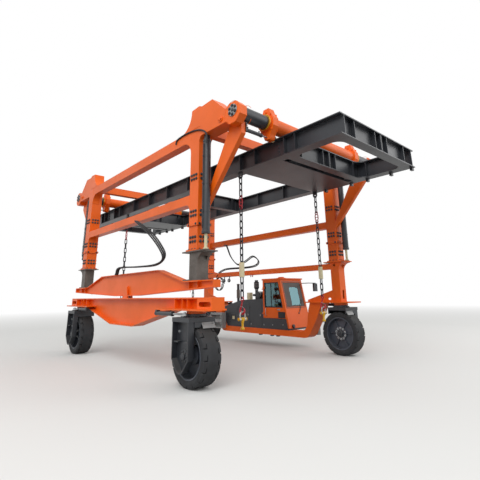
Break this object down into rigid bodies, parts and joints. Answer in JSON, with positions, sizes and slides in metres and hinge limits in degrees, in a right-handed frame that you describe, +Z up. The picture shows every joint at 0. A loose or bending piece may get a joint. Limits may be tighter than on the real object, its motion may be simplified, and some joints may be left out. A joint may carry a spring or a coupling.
{
  "type": "straddle carrier",
  "caption": "Rubber-tyred straddle carrier: steered wheels on forks, a lifting portal on telescopic columns, and a long load frame that hangs chains over the load bay.",
  "frame": {"origin": "on the ground in the middle of the four wheels", "axes": "+X forward, +Y to the cab side, +Z up"},
  "size_m": [12.19, 6.6148, 5.706],
  "materials": {
    "orange_paint": "gloss",
    "black_paint": "satin",
    "raw_steel": "mill scale",
    "bright_steel": "polished",
    "cream_paint": "satin",
    "red_paint": "gloss",
    "yellow_paint": "gloss",
    "silver_paint": "satin",
    "tyre_rubber": "matte",
    "clear_glass": "clear",
    "seat_vinyl": "grained"
  },
  "bodies": {
    "cab_side": {"left_side_frame": "orange_paint", "left_pedestals": "orange_paint", "left_tie_beam": "orange_paint", "left_masts": "raw_steel", "left_lift_rods": "cream_paint", "left_steer_barrels": "black_paint", "cab_frame": "orange_paint", "cab_roof": "orange_paint", "cab_glass": "clear_glass", "cab_seat": "seat_vinyl", "engine_hood": "black_paint", "engine_block": "raw_steel", "air_cleaner": "black_paint", "step_box": "silver_paint", "oil_canisters": "silver_paint", "side_mirror": "black_paint"},
    "cab_door": {"cab_door": "orange_paint", "cab_door_glass": "clear_glass"},
    "portal": {"outer_tubes": "orange_paint", "top_beams": "orange_paint", "mid_beams": "orange_paint", "column_heads": "orange_paint", "cross_beams": "orange_paint", "guide_bars": "black_paint", "head_braces": "orange_paint", "lift_barrels": "black_paint", "shift_barrels": "black_paint"},
    "load_frame": {"shift_sleeves": "orange_paint", "load_girders": "black_paint", "load_cross_beams": "black_paint", "load_hangers": "bright_steel", "shift_rods": "bright_steel", "lift_chains": "black_paint", "chain_hooks": "red_paint", "corner_lugs": "yellow_paint", "chain_sleeves": "cream_paint", "shackles": "bright_steel"},
    "right_side": {"right_lower_beam": "orange_paint", "right_rocker_beam": "orange_paint", "right_pedestals": "raw_steel", "right_masts": "raw_steel", "right_lift_rods": "cream_paint", "right_steer_barrels": "black_paint"},
    "fork_front_left": {"fork_front_left": "black_paint"},
    "wheel_front_left": {"tyre_front_left": "tyre_rubber", "rim_front_left": "black_paint"},
    "rod_front_left": {"steer_rod_front_left": "bright_steel"},
    "fork_front_right": {"fork_front_right": "black_paint"},
    "wheel_front_right": {"tyre_front_right": "tyre_rubber", "rim_front_right": "black_paint"},
    "rod_front_right": {"steer_rod_front_right": "bright_steel"},
    "fork_rear_left": {"fork_rear_left": "black_paint"},
    "wheel_rear_left": {"tyre_rear_left": "tyre_rubber", "rim_rear_left": "black_paint"},
    "rod_rear_left": {"steer_rod_rear_left": "bright_steel"},
    "fork_rear_right": {"fork_rear_right": "black_paint"},
    "wheel_rear_right": {"tyre_rear_right": "tyre_rubber", "rim_rear_right": "black_paint"},
    "rod_rear_right": {"steer_rod_rear_right": "bright_steel"}
  },
  "joints": [
    {"name": "door_hinge", "type": "hinge", "parent": "cab_side", "child": "cab_door", "pos_m": [0.2, 2.2525, 1.4], "axis": [0, 0, 1], "range_deg": [-80, 0]},
    {"name": "lift", "type": "slide", "parent": "cab_side", "child": "portal", "axis": [0, 0, 1], "range_m": [0, 1.75]},
    {"name": "right_lift", "type": "slide", "parent": "portal", "child": "right_side", "axis": [0, 0, -1], "range_m": [0, 1.75]},
    {"name": "side_shift", "type": "slide", "parent": "portal", "child": "load_frame", "axis": [0, 1, 0], "range_m": [-0.15, 0.15]},
    {"name": "steer_front_left", "type": "hinge", "parent": "cab_side", "child": "fork_front_left", "pos_m": [3.11, 2.46, 1.3], "axis": [0, 0, 1], "range_deg": [-30, 30]},
    {"name": "roll_front_left", "type": "hinge", "parent": "fork_front_left", "child": "wheel_front_left", "pos_m": [3.11, 2.46, 0.56], "axis": [0, 1, 0], "continuous": true},
    {"name": "steer_rod_front_left", "type": "slide", "parent": "cab_side", "child": "rod_front_left", "axis": [1, 0, 0], "range_m": [-0.145, 0.145]},
    {"name": "steer_front_right", "type": "hinge", "parent": "right_side", "child": "fork_front_right", "pos_m": [3.11, -2.46, 1.3], "axis": [0, 0, 1], "range_deg": [-30, 30]},
    {"name": "roll_front_right", "type": "hinge", "parent": "fork_front_right", "child": "wheel_front_right", "pos_m": [3.11, -2.46, 0.56], "axis": [0, 1, 0], "continuous": true},
    {"name": "steer_rod_front_right", "type": "slide", "parent": "right_side", "child": "rod_front_right", "axis": [1, 0, 0], "range_m": [-0.145, 0.145]},
    {"name": "steer_rear_left", "type": "hinge", "parent": "cab_side", "child": "fork_rear_left", "pos_m": [-3.11, 2.46, 1.3], "axis": [0, 0, 1], "range_deg": [-30, 30]},
    {"name": "roll_rear_left", "type": "hinge", "parent": "fork_rear_left", "child": "wheel_rear_left", "pos_m": [-3.11, 2.46, 0.56], "axis": [0, 1, 0], "continuous": true},
    {"name": "steer_rod_rear_left", "type": "slide", "parent": "cab_side", "child": "rod_rear_left", "axis": [1, 0, 0], "range_m": [-0.145, 0.145]},
    {"name": "steer_rear_right", "type": "hinge", "parent": "right_side", "child": "fork_rear_right", "pos_m": [-3.11, -2.46, 1.3], "axis": [0, 0, 1], "range_deg": [-30, 30]},
    {"name": "roll_rear_right", "type": "hinge", "parent": "fork_rear_right", "child": "wheel_rear_right", "pos_m": [-3.11, -2.46, 0.56], "axis": [0, 1, 0], "continuous": true},
    {"name": "steer_rod_rear_right", "type": "slide", "parent": "right_side", "child": "rod_rear_right", "axis": [1, 0, 0], "range_m": [-0.145, 0.145]}
  ],
  "couplings": [
    {"joint": "right_lift", "follows": "lift", "ratio": 1},
    {"joint": "steer_rod_front_left", "follows": "steer_front_left", "m_per_rad": -0.27},
    {"joint": "steer_rod_front_right", "follows": "steer_front_right", "m_per_rad": 0.27},
    {"joint": "steer_rod_rear_left", "follows": "steer_rear_left", "m_per_rad": -0.27},
    {"joint": "steer_rod_rear_right", "follows": "steer_rear_right", "m_per_rad": 0.27}
  ]
}
